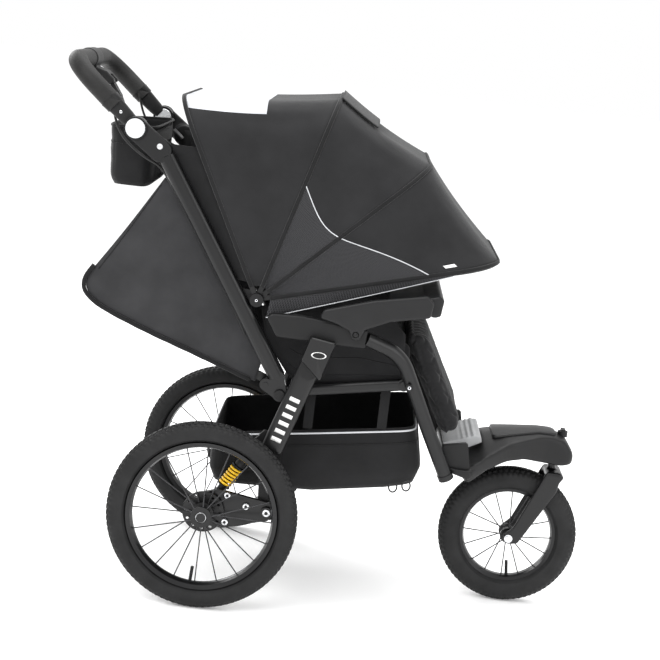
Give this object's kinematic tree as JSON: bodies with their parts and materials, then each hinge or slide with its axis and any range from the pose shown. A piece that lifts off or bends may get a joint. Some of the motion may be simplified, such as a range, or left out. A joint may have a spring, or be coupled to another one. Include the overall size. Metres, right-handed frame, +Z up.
{
  "type": "baby stroller",
  "caption": "Folding three-wheel jogging stroller with spoked wheels, reclining seat, jointed canopy, tilting handle, child tray and storage basket.",
  "frame": {"origin": "centre of the whole stroller's bounding box, on the ground", "axes": "+X forward in the direction of travel, +Y to the child's left, +Z up"},
  "size_m": [1.206, 0.6164, 1.12],
  "materials": {
    "frame": "satin black",
    "plastic": "matte black",
    "grey_plastic": "dark grey moulded",
    "light_plastic": "light grey ribbed",
    "fabric": "charcoal woven",
    "mesh_fabric": "charcoal canopy cloth",
    "foam": "dark grey grip foam",
    "tyre": "black rubber",
    "rim": "satin",
    "spoke": "bright wire",
    "hub": "dark hub",
    "bolt": "bright",
    "spring": "yellow",
    "button": "silver",
    "cable": "black"
  },
  "bodies": {
    "front_frame": {"front_legs": "frame", "arm_housings": "plastic", "seat_rails": "frame", "frame_bolts": "bolt", "cross_tubes": "frame", "seat_pad": "fabric", "calf_rest": "fabric", "basket": "fabric", "basket_straps": "fabric", "footrest": "light_plastic", "nose_console": "plastic", "nose_panel": "grey_plastic", "swivel_lock": "plastic"},
    "rear_frame": {"rear_legs": "frame", "leg_brackets": "plastic", "axle_brackets": "plastic", "rear_crossbar": "frame"},
    "swing_right": {"swing_arm_right": "plastic", "shock_right": "spring"},
    "swing_left": {"swing_arm_left": "plastic", "shock_left": "spring"},
    "rear_wheel_right": {"rear_tyre_right": "tyre", "rear_rim_right": "rim", "rear_spokes_right": "spoke", "rear_hub_right": "hub"},
    "rear_wheel_left": {"rear_tyre_left": "tyre", "rear_rim_left": "rim", "rear_spokes_left": "spoke", "rear_hub_left": "hub"},
    "caster_fork": {"fork": "plastic", "fork_bolts": "bolt"},
    "front_wheel": {"front_tyre": "tyre", "front_rim": "rim", "front_spokes": "spoke", "front_hub": "hub"},
    "push_frame": {"push_tubes": "frame", "fold_brackets": "plastic", "handle_housings": "plastic", "housing_screws": "bolt", "canopy_hubs": "plastic", "pouch": "fabric", "bow_rear": "frame", "recline_tent": "fabric", "canopy_rear": "mesh_fabric"},
    "canopy_mid": {"bow_middle": "frame", "canopy_front": "mesh_fabric"},
    "canopy_fore": {"bow_front": "frame", "canopy_visor": "mesh_fabric"},
    "visor": {"visor_frame": "frame"},
    "handle": {"handlebar": "frame", "handle_grip": "foam", "lever_pod": "plastic", "brake_cables": "cable"},
    "lever": {"brake_lever": "plastic"},
    "button_right": {"joint_button_right": "button"},
    "button_left": {"joint_button_left": "button"},
    "backrest": {"backrest": "fabric", "backrest_arms": "frame"},
    "tray": {"tray_arms": "grey_plastic", "tray": "grey_plastic"}
  },
  "joints": [
    {"name": "frame_fold", "type": "hinge", "parent": "front_frame", "child": "push_frame", "pos_m": [-0.089, 0, 0.462], "axis": [0, 1, 0], "range_deg": [0, 60]},
    {"name": "rear_leg_fold", "type": "hinge", "parent": "front_frame", "child": "rear_frame", "pos_m": [-0.01, 0, 0.6], "axis": [0, 1, 0], "range_deg": [-40, 0]},
    {"name": "tray_fold", "type": "hinge", "parent": "front_frame", "child": "tray", "pos_m": [0.053, 0, 0.616], "axis": [0, 1, 0], "range_deg": [0, 15]},
    {"name": "canopy_mid_fold", "type": "hinge", "parent": "push_frame", "child": "canopy_mid", "pos_m": [-0.158, 0, 0.655], "axis": [0, 1, 0], "range_deg": [-37, 0], "deforming": ["canopy_rear"]},
    {"name": "canopy_fore_fold", "type": "hinge", "parent": "canopy_mid", "child": "canopy_fore", "pos_m": [-0.158, 0, 0.655], "axis": [0, 1, 0], "range_deg": [-25, 0], "deforming": ["canopy_front"]},
    {"name": "visor_fold", "type": "hinge", "parent": "canopy_fore", "child": "visor", "pos_m": [-0.158, 0, 0.655], "axis": [0, 1, 0], "range_deg": [-24, 0], "deforming": ["canopy_visor"]},
    {"name": "backrest_recline", "type": "hinge", "parent": "push_frame", "child": "backrest", "pos_m": [-0.12, 0, 0.48], "axis": [0, 1, 0], "range_deg": [0, 45], "deforming": ["recline_tent"]},
    {"name": "handle_tilt", "type": "hinge", "parent": "push_frame", "child": "handle", "pos_m": [-0.44, 0, 0.977], "axis": [0, 1, 0], "range_deg": [-60, 12], "deforming": ["brake_cables"]},
    {"name": "brake_squeeze", "type": "hinge", "parent": "handle", "child": "lever", "pos_m": [-0.542, 0, 1.066], "axis": [0, 1, 0], "range_deg": [-4, 14], "stiffness_Nm_per_rad": 0.8},
    {"name": "press_button_right", "type": "slide", "parent": "push_frame", "child": "button_right", "axis": [0, 1, 0], "range_m": [0, 0.0025], "stiffness_N_per_m": 400, "springref_m": -0.001},
    {"name": "press_button_left", "type": "slide", "parent": "push_frame", "child": "button_left", "axis": [0, -1, 0], "range_m": [0, 0.0025], "stiffness_N_per_m": 400, "springref_m": -0.001},
    {"name": "suspension_right", "type": "hinge", "parent": "rear_frame", "child": "swing_right", "pos_m": [-0.088, 0, 0.212], "axis": [0, 1, 0], "range_deg": [0, 6], "stiffness_Nm_per_rad": 150, "springref_deg": -5.73, "deforming": ["shock_right"]},
    {"name": "suspension_left", "type": "hinge", "parent": "rear_frame", "child": "swing_left", "pos_m": [-0.088, 0, 0.212], "axis": [0, 1, 0], "range_deg": [0, 6], "stiffness_Nm_per_rad": 150, "springref_deg": -5.73, "deforming": ["shock_left"]},
    {"name": "rear_spin_right", "type": "hinge", "parent": "swing_right", "child": "rear_wheel_right", "pos_m": [-0.22, -0.285, 0.2], "axis": [0, 1, 0], "continuous": true},
    {"name": "rear_spin_left", "type": "hinge", "parent": "swing_left", "child": "rear_wheel_left", "pos_m": [-0.22, 0.285, 0.2], "axis": [0, 1, 0], "continuous": true},
    {"name": "caster_swivel", "type": "hinge", "parent": "front_frame", "child": "caster_fork", "pos_m": [0.525, 0, 0.34], "axis": [0, 0, 1], "continuous": true},
    {"name": "front_spin", "type": "hinge", "parent": "caster_fork", "child": "front_wheel", "pos_m": [0.447, 0, 0.155], "axis": [0, 1, 0], "continuous": true}
  ],
  "couplings": [
    {"joint": "rear_leg_fold", "follows": "frame_fold", "ratio": -0.66667},
    {"joint": "tray_fold", "follows": "frame_fold", "ratio": 0.25},
    {"joint": "canopy_mid_fold", "follows": "frame_fold", "ratio": -0.61667},
    {"joint": "canopy_fore_fold", "follows": "frame_fold", "ratio": -0.41667},
    {"joint": "visor_fold", "follows": "frame_fold", "ratio": -0.4}
  ]
}
